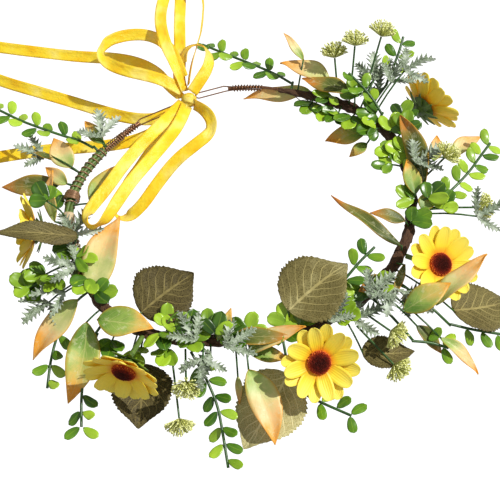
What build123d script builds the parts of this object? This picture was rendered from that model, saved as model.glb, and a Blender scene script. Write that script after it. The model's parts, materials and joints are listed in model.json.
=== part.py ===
from build123d import *
import os
from math import atan2, cos, degrees, pi, radians, sin, tan

# A flower crown that lies flat. Millimetres; origin on the resting surface, at the ring's centre.
# +Z is up out of the ring, and -Y points to the side with the most flowers.

RING_Z = 22.0           # height of the ring's axis: blooms and leaves hold it up
WIRE_R = 0.9            # steel wire inside the ring
BORE_GAP = 0.05         # slip between the wire and what is wound on it
VINE_R = 3.5            # brown paper vine wound on the wire
STEM_R = 3.0            # bundle of green stems bound to the wire
BINDING_PITCH = 4.5
BINDING_STOP = 36.0     # bare length left at the bundle's lower end
BINDING_R = 0.45        # copper-brown binding wire
TWINE_R = 0.8
TWINE_PITCH = 3.2
TWINE_LENGTH = 13.0     # from the vine's left end
STRIP_T = 0.5           # tan paper strip round the bundle
STRIP_BACK = 27.0       # its middle, from the bundle's lower end
STRIP_HALF = 4.0
EYELET_WIRE_R = 0.4
RIBBON_R = 1.2          # round stand-in for the flat ribbon
KNOT = (-32, 76, 25)    # centre of the ribbon's knot
KNOT_R = 5.0

PETAL_TIP_R = 23.0      # sunflower, from its axis to a petal's tip
PETAL_COUNT = 8
PETAL_WIDTH = 9.6
PETAL_T = 0.6
PETAL_CUP = 20.0        # degrees the petals lean forward
LAYER_STEP = 1.6        # from one petal layer to the next, along the axis
HUB_R = 8.0
DISC_R = 7.0
DISC_H = 4.5
PEG_R = 2.0
PEG_GAP = 0.05          # radial running clearance of the bloom on its peg
CALYX_R = 8.0
CALYX_H = 5.0
FLOWER_STEM_R = 1.5

LEAF_T = 0.6
SPRIG_STEM_R = 0.8
CLEAR = 0.35            # least air between a leaf and its neighbours

# Corners of the ring's axis, from the left end round the front to the top end.
RING = [
    (-62, 61), (-77, 47), (-89, 33), (-98, 16), (-102, -4), (-98, -26), (-89, -49), (-74, -71),
    (-49, -85), (-18, -88), (17, -84), (51, -76), (81, -52), (99, -21), (103, 12), (96, 45),
    (77, 70), (46, 81), (12, 89), (-8, 87),
]
STEMS_FROM = 1          # ring corner where the bound green stems begin
VINE_FROM = 5           # ring corner where they end and the vine begins
VINE_TO = 18            # ring corner where the vine ends

os.makedirs("parts", exist_ok=True)
placed = []             # every finished solid, for keeping later ones clear


def unit(vector):
    return Vector(*vector).normalized()


def guard(solid, gap=CLEAR):
    box = solid.bounding_box()
    placed.append((solid, tuple(box.min), tuple(box.max), gap))


def is_clear(solid):
    """True if the solid keeps its distance from every finished one and from the surface."""
    box = solid.bounding_box()
    low, high = tuple(box.min), tuple(box.max)
    if low[2] < 0:
        return False
    for other, other_low, other_high, gap in placed:
        if any(low[i] > other_high[i] + gap or other_low[i] > high[i] + gap for i in range(3)):
            continue
        if solid.distance_to(other) < gap:
            return False
    return True


def write(name, solids):
    export_step(Compound(children=list(solids)), f"parts/{name}.step")


def corner_radii(points, least):
    """Each corner's arc: 0.45 of the shorter run over the tangent of half the turn."""
    vectors = [Vector(*p) for p in points]
    radii = []
    for before, here, after in zip(vectors, vectors[1:], vectors[2:]):
        turn = (here - before).get_angle(after - here)
        shorter = min((here - before).length, (after - here).length)
        radii.append(0.45 * shorter / tan(radians(turn) / 2))
    if min(radii) < least:
        print("tight corner", round(min(radii), 1), points)
    return radii


def tube(points, radius, bore=0.0, least=0.0):
    path = FilletPolyline(*points, radius=corner_radii(points, least))
    section = Circle(radius) - Circle(bore) if bore else Circle(radius)
    return sweep(Plane(path @ 0, z_dir=path % 0) * section, path=path).solid(), path


# ---- ring -------------------------------------------------------------------------------------

ring_points = [(x, y, RING_Z) for x, y in RING]
ring_radii = corner_radii(ring_points, 0)
ring_path = FilletPolyline(*ring_points, radius=ring_radii)
ring_edges = ring_path.edges().sort_by(ring_path)


def ring_span(first, last):
    """The ring's path from the end of one corner's arc to the end of another's."""
    return Wire(ring_edges[2 * first:2 * last])


def sleeve(path, outer, inner):
    section = Circle(outer) - Circle(inner)
    return sweep(Plane(path @ 0, z_dir=path % 0) * section, path=path).solid()


def turns(path, start, end, pitch, sleeve_r, wire_r, lean):
    """Separate closed turns of wire round a sleeve, each leaning a little."""
    rings = []
    count = int((end - start) / pitch)
    for k in range(count):
        at = (start + (k + 0.5) * pitch) / path.length
        plane = Plane(path @ at, z_dir=path % at)
        major = (sleeve_r + wire_r + 0.05) / cos(radians(lean))
        rings.append((plane * Rot(lean, 0, 0) * Torus(major, wire_r)).solid())
    return rings


wire = sweep(Plane(ring_path @ 0, z_dir=ring_path % 0) * Circle(WIRE_R), path=ring_path).solid()
stem_path = ring_span(STEMS_FROM, VINE_FROM)
vine_path = ring_span(VINE_FROM, VINE_TO)
stems = sleeve(stem_path, STEM_R, WIRE_R + BORE_GAP)
vine = sleeve(vine_path, VINE_R, WIRE_R + BORE_GAP)
write("ring_wire", [wire])
write("stem_bundle", [stems])
write("vine_wrap", [vine])
binding_end = stem_path.length - BINDING_STOP
binding = turns(stem_path, 2, binding_end, BINDING_PITCH, STEM_R, BINDING_R, 8)
write("binding_wire", binding)
twine = turns(vine_path, 0, TWINE_LENGTH, TWINE_PITCH, VINE_R, TWINE_R, 10)
write("twine_wrap", twine)
strip_at = 1 - STRIP_BACK / stem_path.length
strip_plane = Plane(stem_path @ strip_at, z_dir=stem_path % strip_at)
strip_inner = STEM_R + 0.25
strip_section = Circle(strip_inner + STRIP_T) - Circle(strip_inner)
strip = (strip_plane * extrude(strip_section, STRIP_HALF, both=True)).solid()
write("paper_strip", [strip])


for a, b in zip(ring_points, ring_points[1:]):
    run = Vector(*b) - Vector(*a)
    bar = Cylinder(VINE_R + 0.6, run.length)
    guard((Plane(a, z_dir=run) * Pos(0, 0, run.length / 2) * bar).solid())


def eyelet(name, root, reach, half_gap):
    """A loop of thin wire: two strands side by side from root to the bend at reach."""
    start, end = Vector(*root), Vector(*reach)
    ahead = (end - start).normalized()
    side = ahead.cross(Vector(0, 0, 1)).normalized() * half_gap
    nose = end + ahead * half_gap
    line = [start + side, nose + side, nose - side, start - side]
    path = FilletPolyline(*line, radius=half_gap * 0.95)
    loop = sweep(Plane(path @ 0, z_dir=path % 0) * Circle(EYELET_WIRE_R), path=path).solid()
    write(name, [loop])
    guard(loop)


eyelet("left_eyelet", (-61, 62, RING_Z), (-42, 71, RING_Z + 1), 2.0)
eyelet("right_eyelet", (-10, 87, RING_Z), (-26, 81, RING_Z + 1), 2.0)

# ---- sunflowers -------------------------------------------------------------------------------

# Name, centre of the bloom's back face, and facing direction.
FLOWERS = [
    ("left", (-119, -17, 23.2), (-1, 0, 0.05)),
    ("lower_left", (-62, -107, 30), (-0.25, -0.95, 0.12)),
    ("lower", (43, -103, 29), (0.15, -0.63, 0.79)),
    ("right", (113, -43, 29), (0.35, -0.33, 0.97)),
    ("upper_right", (113, 72, 23.2), (0.72, 0.69, 0.04)),
]
RING_STEPS = 400


def ring_side(point, reach=VINE_R + 0.15):
    """The place on the ring's surface that is nearest to a point."""
    target = Vector(*point)
    stations = [ring_path @ (k / RING_STEPS) for k in range(RING_STEPS + 1)]
    nearest = min(stations, key=lambda station: (station - target).length)
    return nearest + (target - nearest).normalized() * reach


def petal_layer(phase, offset):
    """One die-cut fabric layer: a hub disc with pointed petals, cupped forward."""
    outline = Sketch() + Circle(HUB_R)
    for k in range(PETAL_COUNT):
        with_base = HUB_R * 0.5
        middle = (with_base + PETAL_TIP_R) / 2
        edge = ThreePointArc((with_base, 0), (middle, PETAL_WIDTH / 2), (PETAL_TIP_R, 0))
        back = ThreePointArc((PETAL_TIP_R, 0), (middle, -PETAL_WIDTH / 2), (with_base, 0))
        outline += Rot(0, 0, phase + k * 360 / PETAL_COUNT) * make_face(edge + back)
    outline -= Circle(PEG_R + PEG_GAP)
    rise = (PETAL_TIP_R + 2 - HUB_R) * tan(radians(PETAL_CUP))
    profile = Polyline(
        (0, 0), (HUB_R, 0), (PETAL_TIP_R + 2, rise), (PETAL_TIP_R + 2, rise + PETAL_T),
        (HUB_R, PETAL_T), (0, PETAL_T), close=True)
    dish = revolve(Plane.XZ * make_face(profile), Axis.Z)
    return Pos(0, 0, offset) * (extrude(outline, rise + 2) & dish)


def flower(name, centre, facing):
    seat = Plane(centre, z_dir=unit(facing))
    petals = [seat * petal_layer(0, 0.3), seat * petal_layer(180 / PETAL_COUNT, 0.3 + LAYER_STEP)]
    write(f"sunflower_{name}_petals", [p.solid() for p in petals])

    disc_z = 0.3 + LAYER_STEP + PETAL_T + 0.05
    cap = Pos(0, 0, disc_z) * Cylinder(DISC_R, DISC_H, align=(Align.CENTER, Align.CENTER, Align.MIN))
    cap = fillet(cap.edges().group_by(Axis.Z)[-1], DISC_H * 0.6)
    peg_top = disc_z + DISC_H - 1.5
    hole = Pos(0, 0, disc_z) * Cylinder(PEG_R + PEG_GAP, DISC_H - 1.2,
                                        align=(Align.CENTER, Align.CENTER, Align.MIN))
    write(f"sunflower_{name}_disc", [(seat * (cap - hole)).solid()])

    calyx = Pos(0, 0, -CALYX_H) * Cone(2.5, CALYX_R, CALYX_H,
                                       align=(Align.CENTER, Align.CENTER, Align.MIN))
    peg = Pos(0, 0, -1) * Cylinder(PEG_R, peg_top + 1, align=(Align.CENTER, Align.CENTER, Align.MIN))
    back = Vector(*centre) - unit(facing) * (CALYX_H - 1)
    root = ring_side(back)
    reach = back - root
    rod = Plane(root, z_dir=reach) * Cylinder(FLOWER_STEM_R, reach.length,
                                              align=(Align.CENTER, Align.CENTER, Align.MIN))
    stem = (seat * (calyx + peg) + rod).solid()
    write(f"sunflower_{name}_stem", [stem])
    guard(stem)
    rise = (PETAL_TIP_R + 2 - HUB_R) * tan(radians(PETAL_CUP))
    swept = seat * Pos(0, 0, -0.4) * Cylinder(PETAL_TIP_R + 0.6, rise + 4,
                                              align=(Align.CENTER, Align.CENTER, Align.MIN))
    guard(swept.solid())


for flower_facts in FLOWERS:
    flower(*flower_facts)

# ---- ribbon -----------------------------------------------------------------------------------

knot = (Pos(*KNOT) * Sphere(KNOT_R)).solid()

# Each length of ribbon, point by point from the knot.
RIBBONS = {
    "tail_up": [
        (-36, 82, 26), (-39, 91, 26), (-38, 105, 26), (-39, 123, 24), (-40, 145, 20), (-40, 166, 14),
        (-42, 187, 8), (-45, 206, 4)],
    "loop_up": [
        (-35, 80, 29), (-38, 87, 36), (-43, 98, 40), (-48, 111, 42), (-51, 128, 40), (-50, 148, 34),
        (-47, 164, 29), (-43, 175, 26), (-35, 180, 24), (-28, 175, 23), (-25, 163, 24), (-24, 146, 26),
        (-25, 128, 28), (-28, 112, 31),
        (-31, 96, 32), (-32, 85, 30)],
    "tail_left_upper": [
        (-37, 80, 22), (-45, 90, 20), (-52, 102, 18), (-63, 111, 16), (-79, 118, 13), (-104, 123, 8),
        (-131, 129, 5), (-158, 134, 4), (-180, 138, 4)],
    "tail_left_middle": [
        (-37, 75, 21), (-46, 70, 17), (-56, 68, 15), (-70, 71, 13), (-86, 78, 10), (-106, 88, 6),
        (-129, 97, 5), (-156, 107, 4), (-180, 118, 4)],
    "tail_left_lower": [
        (-36, 73, 19), (-44, 67, 14), (-54, 62, 10), (-66, 58, 7), (-79, 56, 5), (-98, 55, 4),
        (-122, 53, 4), (-150, 48, 4), (-176, 42, 4)],
    "loop_left": [
        (-36, 79, 31), (-45, 82, 36), (-57, 85, 38), (-72, 89, 38), (-84, 96, 37), (-88, 107, 35),
        (-83, 117, 33), (-71, 122, 32), (-58, 121, 33), (-47, 114, 33), (-40, 102, 32), (-36, 89, 31)],
    "loop_inner_left": [
        (-35, 72, 28), (-44, 56, 34), (-56, 37, 39), (-68, 19, 40), (-77, 4, 38), (-85, -7, 36),
        (-89, -15, 36), (-86, -23, 38), (-78, -23, 42), (-72, -14, 45), (-64, 0, 47), (-55, 14, 46),
        (-44, 34, 41), (-36, 53, 34), (-33, 70, 28)],
    "loop_inner_right": [
        (-29, 73, 25), (-22, 66, 29), (-17, 56, 31), (-18, 47, 31), (-27, 40, 29), (-39, 32, 24),
        (-50, 20, 17), (-59, 8, 11), (-68, 2, 6), (-75, 5, 4), (-76, 14, 4), (-71, 23, 7), (-63, 33, 11),
        (-56, 45, 15), (-47, 57, 18), (-37, 69, 21)],
    "short_end": [
        (-30, 79, 29), (-25, 85, 33), (-20, 93, 36), (-19, 102, 37), (-23, 110, 36), (-31, 112, 34),
        (-36, 106, 33), (-36, 99, 32)],
}
for ribbon_name, points in RIBBONS.items():
    cord, cord_path = tube(points, RIBBON_R, least=0)
    section_share = cord.volume / (pi * RIBBON_R ** 2 * cord_path.length)
    print(ribbon_name, "length", round(cord_path.length, 1), "volume share", round(section_share, 3))
    print("  radii", [round(r, 1) for r in corner_radii(points, 0)])
    knot -= cord
    write(f"ribbon_{ribbon_name}", [cord])
    guard(cord, 0.2)
write("ribbon_knot", [knot.solid()])
guard(knot.solid())

# ---- sprigs of small leaves --------------------------------------------------------------------

# Each sprig's stems, point by point from the ring out.
SPRIGS = {
    "sprig_left": [
        [(-89, 41, 24), (-97, 45, 26), (-107, 47, 28), (-120, 51, 30), (-133, 56, 31), (-147, 64, 31)]],
    "sprigs_lower_left": [
        [(-80, -80, 17), (-86, -96, 13), (-88, -114, 9), (-87, -132, 6)],
        [(-95, -62, 15), (-103, -74, 10), (-107, -90, 6), (-108, -108, 4)]],
    "sprigs_lower": [
        [(-27, -94, 22), (-18, -109, 18), (-12, -122, 13), (-9, -137, 8), (-6, -155, 4)],
        [(29, -108, 5), (45, -117, 5), (62, -125, 5)]],
    "sprig_inner": [
        [(48, -68, 28), (54, -62, 34), (61, -54, 38), (68, -46, 40), (76, -38, 41)]],
    "sprigs_right": [
        [(120, -72, 12), (133, -74, 9), (150, -76, 7)], [(97, -84, 15), (108, -84, 13), (118, -86, 10)]],
    "sprig_upper_right": [
        [(108, -4, 24), (115, -1, 29), (125, 7, 31), (136, 20, 30), (143, 31, 28), (151, 43, 26)]],
    "sprig_top_left": [
        [(32, 91, 22), (22, 100, 20), (8, 109, 18), (-8, 119, 15), (-25, 130, 12)]],
    "sprigs_top": [
        [(86, 62, 30), (82, 68, 34), (75, 76, 38), (66, 84, 42)],
        [(90, 84, 30), (94, 93, 35), (98, 102, 39), (101, 112, 42)]],
}
SPRIG_PITCH = 9.0
SPRIG_LEAF = 10.0
SPRIG_LEAF_W = 5.5
sprig_stems = {}
for sprig_name, routes in SPRIGS.items():
    sprig_stems[sprig_name] = [tube(points, SPRIG_STEM_R) for points in routes]
    for stem, _ in sprig_stems[sprig_name]:
        if not is_clear(stem):
            print("stem not clear", sprig_name)
        guard(stem, 0.1)


# ---- fringed umbels ---------------------------------------------------------------------------

UMBEL_R = 8.0
UMBEL_H = 6.0
UMBEL_ROD_R = 0.6

# Each head: its centre and its stem's root at the ring.
UMBELS = {
    "umbels_lower": [
        ((-29, -114, 26), (-30, -93, 23)), ((-33, -129, 11), (-38, -93, 17)),
        ((84, -82, 24), (70, -72, 26)), ((86, -98, 14), (66, -76, 18))],
    "umbels_upper": [
        ((120, 23, 40), (106, 14, 27)), ((140, 0, 22), (108, 1, 20)),
        ((58, 97, 40), (60, 82, 27)), ((70, 100, 48), (68, 80, 28)), ((86, 104, 52), (76, 77, 28))],
}


def umbel_group(name, heads):
    solids = []
    for centre, root in heads:
        top, foot = Vector(*centre), Vector(*root)
        ahead = (top - foot).normalized()
        reach = (top - foot).length - 0.1
        rod = (Plane(foot, z_dir=ahead) * Pos(0, 0, reach / 2) * Cylinder(UMBEL_ROD_R, reach)).solid()
        tuft = (Plane(top, z_dir=ahead) * Pos(0, 0, UMBEL_H / 2) * Cone(2, UMBEL_R, UMBEL_H)).solid()
        if not (is_clear(rod) and is_clear(tuft)):
            print("umbel not clear at", centre)
        guard(rod)
        guard(tuft)
        solids += [rod, tuft]
    write(name, solids)


for umbel_name, heads in UMBELS.items():
    umbel_group(umbel_name, heads)

# ---- leaves -----------------------------------------------------------------------------------


def leaf_plate(base, tip, width, roll=0.0, thickness=LEAF_T):
    """A pointed oval plate from base to tip; roll turns it about that line from lying flat."""
    start, end = Vector(*base), Vector(*tip)
    ahead = (end - start).normalized()
    side = Vector(0, 0, 1).cross(ahead).normalized()
    face = ahead.cross(side)
    face = face * cos(radians(roll)) + side * sin(radians(roll))
    length = (end - start).length
    edge = ThreePointArc((0, 0), (length / 2, width / 2), (length, 0))
    back = ThreePointArc((length, 0), (length / 2, -width / 2), (0, 0))
    plate = extrude(make_face(edge + back), thickness / 2, both=True)
    return (Plane(start, x_dir=ahead, z_dir=face) * plate).solid()


LIFTS = [0, 1, -1, 2, -2, 3, -3, 4, -4, 5, -5, 6, -6, 7, 8]
LEANS = [0, 12, -12, 25, -25, 40, -40]


def settle(base, tip, width, roll=0.0, thickness=LEAF_T):
    """The plate nearest to its drawn place that rests clear of all that is there already."""
    for lean in LEANS:
        for lift in LIFTS:
            lifted = [(x, y, z + lift) for x, y, z in (base, tip)]
            plate = leaf_plate(*lifted, width, roll + lean, thickness)
            if is_clear(plate):
                guard(plate)
                return plate
    print("no room for a leaf at", base, tip)
    return None


def leaf_group(name, leaves):
    plates = [settle(*leaf) for leaf in leaves]
    write(name, [plate for plate in plates if plate])


# Each leaf: base, tip, width, roll.
leaf_group("rose_leaf_left", [((-92, -30, 36), (-137, -33, 50), 14, 0)])
leaf_group("rose_leaves_lower_left", [
    ((-55, -73, 28), (-26, -50, 33), 36, 0), ((-57, -92, 3), (-56, -131, 1), 34, 0)])
leaf_group("rose_leaves_lower", [
    ((27, -101, 8), (2, -143, 2), 38, 0), ((27, -74, 28), (60, -47, 36), 40, 0)])
leaf_group("rose_leaves_right", [
    ((99, -87, 10), (69, -89, 12), 20, 0), ((122, -64, 14), (156, -52, 3), 34, 0)])
leaf_group("vine_leaves_upper_left", [
    ((-83, 42, 27), (-95, 57, 30), 9, 20), ((-101, 26, 25), (-113, 46, 29), 14, 10),
    ((-103, 15, 24), (-117, 25, 27), 9, 30), ((-112, 32, 26), (-124, 35, 28), 4, 0)])
leaf_group("vine_leaves_left", [
    ((-108, 18, 20), (-145, 19, 15), 13, 20), ((-107, -16, 32), (-111, 12, 44), 10, 40),
    ((-88, -1, 28), (-71, 25, 31), 14, 0), ((-94, -52, 27), (-91, -36, 31), 6, 0)])
leaf_group("vine_leaves_lower_left", [
    ((-83, -62, 28), (-71, -12, 35), 20, 0), ((-92, -60, 17), (-119, -90, 3), 16, 0),
    ((-86, -75, 20), (-95, -119, 8), 19, 0), ((-79, -77, 28), (-48, -83, 33), 20, 0)])
leaf_group("vine_leaves_lower", [
    ((-12, -90, 28), (-5, -73, 35), 7, 0), ((-1, -104, 12), (0, -119, 7), 4, 0),
    ((5, -104, 20), (20, -144, 11), 18, 0), ((-6, -90, 28), (28, -89, 33), 11, 0),
    ((4, -96, 24), (36, -84, 36), 12, 30), ((6, -94, 19), (27, -96, 18), 10, 0)])
leaf_group("vine_leaves_right", [
    ((53, -66, 27), (56, -48, 33), 7, 0), ((84, -55, 28), (67, -61, 33), 14, 0),
    ((96, -13, 28), (76, -9, 32), 9, 0), ((93, -30, 28), (54, 2, 36), 8, 0),
    ((107, -6, 27), (112, 6, 30), 10, 0), ((94, -42, 27), (86, -65, 31), 5, 0)])
leaf_group("vine_leaves_lower_right", [
    ((116, -63, 42), (91, -75, 30), 15, 0), ((109, -72, 36), (137, -45, 48), 14, 30),
    ((100, -75, 17), (115, -88, 8), 9, 0), ((113, -82, 15), (135, -100, 6), 8, 0)])
leaf_group("vine_leaves_upper_right", [
    ((109, 10, 29), (95, 58, 36), 14, 30), ((116, 30, 26), (119, 47, 29), 9, 0),
    ((127, 37, 20), (149, 56, 17), 10, 0), ((103, 4, 28), (99, 26, 33), 11, 0)])
leaf_group("vine_leaves_top", [
    ((56, 89, 27), (25, 100, 33), 15, 0), ((44, 88, 17), (1, 92, 9), 13, 0),
    ((68, 77, 28), (38, 88, 29), 12, 0), ((39, 100, 34), (27, 115, 43), 6, 0),
    ((79, 58, 20), (52, 53, 15), 15, 0), ((78, 52, 13), (67, 45, 9), 8, 0)])


def sprig_leaves(name):
    """Leaves in pairs along each stem, each pair turned from the last."""
    leaves = []
    for _, path in sprig_stems[name]:
        for k in range(1, int(path.length / SPRIG_PITCH) + 1):
            at = k * SPRIG_PITCH / path.length
            here, ahead = path @ at, path % at
            side = Vector(0, 0, 1).cross(ahead).normalized()
            if k % 2:
                side = (side + ahead.cross(side) * 0.8).normalized()
            for hand in (1, -1):
                away = (side * hand + ahead * 0.7).normalized()
                base = here + away * (SPRIG_STEM_R + 0.45)
                tip = base + away * SPRIG_LEAF
                plate = leaf_plate(tuple(base), tuple(tip), SPRIG_LEAF_W)
                if is_clear(plate):
                    guard(plate)
                    leaves.append(plate)
    write(name, [stem for stem, _ in sprig_stems[name]] + leaves)


for sprig_name in SPRIGS:
    sprig_leaves(sprig_name)


def small_leaves(name, places, length, width):
    """Loose little leaves: each place is a base and the compass direction it points."""
    plates = []
    for x, y, z, heading in places:
        step = Vector(cos(radians(heading)), sin(radians(heading)), 0.25).normalized() * length
        plates.append(settle((x, y, z), (x + step.X, y + step.Y, z + step.Z), width))
    write(name, [plate for plate in plates if plate])


def over_ring(first, last, pitch, splay):
    """Places on top of the ring from corner first to corner last, turned to either side."""
    places = []
    for start, end in zip(ring_points[first:last], ring_points[first + 1:last + 1]):
        run = Vector(*end) - Vector(*start)
        course = degrees(atan2(run.Y, run.X))
        for k in range(int(run.length / pitch)):
            here = Vector(*start) + run * ((k + 0.5) * pitch / run.length)
            hand = 1 if len(places) % 2 else -1
            places.append((here.X, here.Y, RING_Z + VINE_R + 2, course + hand * splay))
    return places


BOX_L, BOX_W = 13, 9
small_leaves("box_leaves_left", [
    (-106, 9, 20, 200), (-110, -12, 48, 120), (-121, -52, 18, 150),
    (-112, -44, 20, 200), (-104, -48, 22, 240), (-116, -50, 14, 180), (-122, -46, 10, 160),
    (-72, -84, 14, 260), (-60, -90, 14, 300), (-40, -82, 28, 90), (-28, -84, 28, 80),
    (-16, -84, 28, 100), (-40, -93, 22, 250), (-36, -76, 24, 60)]
    + over_ring(5, 7, 10, 55) + over_ring(8, 10, 9, 65), BOX_L, BOX_W)
small_leaves("box_leaves_right", [
    (26, -80, 28, 100), (30, -74, 24, 70), (46, -76, 30, 130), (40, -72, 24, 80),
    (44, 74, 24, 240), (52, 70, 24, 250), (60, 66, 24, 230), (68, 62, 26, 250),
    (82, 52, 28, 200), (98, 60, 28, 60), (100, 50, 30, 80), (92, 36, 28, 200),
    (90, 26, 28, 190), (110, 0, 32, 40), (118, -6, 30, 60)]
    + over_ring(10, 12, 12, 60) + over_ring(13, 17, 15, 60), BOX_L, BOX_W)

FROST_L, FROST_W = 20, 8
small_leaves("frosted_leaves_left", [
    (-118, 34, 24, 160), (-84, 44, 30, 100), (-110, -58, 12, 230), (-96, -24, 32, 60),
    (-100, -56, 20, 190), (-92, -44, 30, 170), (-24, -92, 26, 120), (-16, -96, 22, 210),
    (-8, -96, 26, 30), (-20, -102, 22, 270)], FROST_L, FROST_W)
small_leaves("frosted_leaves_right", [
    (50, -80, 30, 60), (64, -76, 26, 20), (72, -66, 28, 40), (94, -56, 22, 320),
    (138, -10, 20, 20), (84, 76, 30, 120), (92, 80, 34, 60), (82, 84, 36, 90), (100, 84, 38, 20),
    (88, -60, 30, 250), (104, 22, 32, 30)], FROST_L, FROST_W)
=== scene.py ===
import json
import random
from math import cos, pi, radians, sin, sqrt, tau

import bpy
import numpy as np
from mathutils import Matrix, Quaternion, Vector, noise


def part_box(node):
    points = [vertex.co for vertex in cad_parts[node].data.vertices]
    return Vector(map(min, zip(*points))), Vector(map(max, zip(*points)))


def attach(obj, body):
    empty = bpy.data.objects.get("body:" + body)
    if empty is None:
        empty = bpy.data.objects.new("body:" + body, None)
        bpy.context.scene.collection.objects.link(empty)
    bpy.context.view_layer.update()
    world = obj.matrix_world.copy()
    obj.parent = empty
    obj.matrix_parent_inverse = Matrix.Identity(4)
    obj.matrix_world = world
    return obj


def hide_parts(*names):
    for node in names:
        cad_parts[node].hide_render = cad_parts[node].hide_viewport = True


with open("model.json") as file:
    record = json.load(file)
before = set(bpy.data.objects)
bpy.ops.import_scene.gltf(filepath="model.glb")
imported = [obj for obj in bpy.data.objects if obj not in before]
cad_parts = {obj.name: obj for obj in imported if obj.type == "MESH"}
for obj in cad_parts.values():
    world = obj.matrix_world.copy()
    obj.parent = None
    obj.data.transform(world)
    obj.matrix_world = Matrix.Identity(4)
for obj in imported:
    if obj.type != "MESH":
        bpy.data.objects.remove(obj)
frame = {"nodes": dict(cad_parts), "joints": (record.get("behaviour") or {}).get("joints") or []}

# A flower crown on a white surface, in metres, in the CAD model's own frame.
BODY = "crown"
UP = Vector((0, 0, 1))
TO_VIEWER = Vector((0, -0.5, 0.866))  # from the crown to the eye, for which way ribbons face

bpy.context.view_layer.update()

# ---- camera ----

CAMERA_ELEVATION = 60
CAMERA_DISTANCE = 0.75
CAMERA_TARGET = Vector((0.0058, -0.025, 0.022))
CAMERA_LENS = 92.9
CAMERA_SENSOR = 36


def placed(name, data):
    """A new object in the scene that holds this data."""
    thing = bpy.data.objects.new(name, data)
    bpy.context.collection.objects.link(thing)
    return thing


def add_camera():
    eye = placed("camera", bpy.data.cameras.new("camera"))
    tilt = radians(CAMERA_ELEVATION)
    eye.location = CAMERA_TARGET + Vector((0, -cos(tilt), sin(tilt))) * CAMERA_DISTANCE
    eye.rotation_euler = (pi / 2 - tilt, 0, 0)
    eye.data.lens = CAMERA_LENS
    eye.data.sensor_width = CAMERA_SENSOR
    bpy.context.scene.camera = eye


add_camera()
bpy.context.scene.view_settings.view_transform = "Standard"  # keeps the yellows strong and bright

# ---- meshes from lists ----


TINY = 1e-12  # an area under this has no direction


class Build:
    """Vertices, faces and per-vertex values of a mesh that grows piece by piece."""

    def __init__(self):
        self.points, self.faces, self.values = [], [], {}

    def add(self, points, faces, **values):
        start = len(self.points)
        self.points += [tuple(p) for p in points]
        self.faces += [tuple(start + i for i in face) for face in faces]
        for key in sorted({*self.values, *values}):
            column = self.values.setdefault(key, [0.0] * start)
            column += list(values.get(key, [0.0] * len(points)))

    def finish(self, name, material, node, slot, body=BODY):
        """Makes the piece: what it is made of, the CAD node it stands for, and its body. Its slot is not
        used.
        """
        mesh = bpy.data.meshes.new(name)
        mesh.from_pydata(self.points, [], self.faces)
        for key, column in self.values.items():
            layer = mesh.attributes.new(key, "FLOAT", "POINT")
            layer.data.foreach_set("value", column)
        mesh.polygons.foreach_set("use_smooth", [True] * len(mesh.polygons))
        mesh.update()
        piece = placed(name, mesh)
        mesh.materials.append(material)
        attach(piece, body)
        if node:
            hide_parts(node)
        return piece


def grid_faces(rows, columns, closed=False):
    """Quads of a rows by columns grid; closed joins the last column to the first."""
    faces = []
    for i in range(rows - 1):
        for j in range(columns if closed else columns - 1):
            k = (j + 1) % columns
            faces.append((i * columns + j, i * columns + k, (i + 1) * columns + k, (i + 1) * columns + j))
    return faces


def two_sided(build, sheet, rows, columns, thickness, normals, **values):
    """A thin closed sheet from a grid of points: a front, a back and a rim."""
    front = [p + n * thickness / 2 for p, n in zip(sheet, normals)]
    back = [p - n * thickness / 2 for p, n in zip(sheet, normals)]
    count = rows * columns
    faces = grid_faces(rows, columns)
    under = [tuple(count + i for i in reversed(face)) for face in faces]
    rim = list(range(columns))
    rim += [i * columns + columns - 1 for i in range(1, rows)]
    rim += [(rows - 1) * columns + j for j in range(columns - 2, -1, -1)]
    rim += [i * columns for i in range(rows - 2, 0, -1)]
    edge = [(b, a, count + a, count + b) for a, b in zip(rim, rim[1:] + rim[:1])]
    doubled = {key: list(column) * 2 for key, column in values.items()}
    doubled["side"] = [0.0] * count + [1.0] * count
    build.add(front + back, faces + under + edge, **doubled)


def grid_normals(points, rows, columns):
    """The way each point of a grid faces, from its neighbours."""
    normals = []
    for i in range(rows):
        for j in range(columns):
            up = points[min(i + 1, rows - 1) * columns + j] - points[max(i - 1, 0) * columns + j]
            across = points[i * columns + min(j + 1, columns - 1)] - points[i * columns + max(j - 1, 0)]
            normal = up.cross(across)
            normals.append(normal.normalized() if normal.length > TINY else UP)
    return normals


def add_sheet(build, rows, columns, thickness, place, ease=lambda t: t, **extra):
    """A thin sheet through place(u, v), for u from 0 to 1 in rows and v from -1 to 1 across."""
    sheet, us, vs = [], [], []
    for i in range(rows):
        for j in range(columns):
            us.append(ease(i / (rows - 1)))
            vs.append(2 * j / (columns - 1) - 1)
            sheet.append(place(us[-1], vs[-1]))
    fixed = {key: [value] * len(us) for key, value in extra.items()}
    two_sided(build, sheet, rows, columns, thickness, grid_normals(sheet, rows, columns), u=us, v=vs, **fixed)


def line_through(points, name, steps=10):
    """Points along the smooth NURBS line that has these control points."""
    curve = bpy.data.curves.new(name + "_line", "CURVE")
    curve.dimensions = "3D"
    curve.resolution_u = steps
    spline = curve.splines.new("NURBS")
    spline.points.add(len(points) - 1)
    for control, place in zip(spline.points, points):
        control.co = (*place, 1)
    spline.order_u = 3
    spline.use_endpoint_u = True
    holder = bpy.data.objects.new(name + "_line", curve)
    mesh = bpy.data.meshes.new_from_object(holder)
    line = [vertex.co.copy() for vertex in mesh.vertices]
    bpy.data.objects.remove(holder)
    bpy.data.meshes.remove(mesh)
    return line


def line_length(line):
    """The length of a line of points."""
    return sum((b - a).length for a, b in zip(line, line[1:]))


def tangents(line):
    """The way the line runs at each of its points."""
    last = len(line) - 1
    return [(line[min(i + 1, last)] - line[max(i - 1, 0)]).normalized() for i in range(last + 1)]


# ---- materials ----


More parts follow.
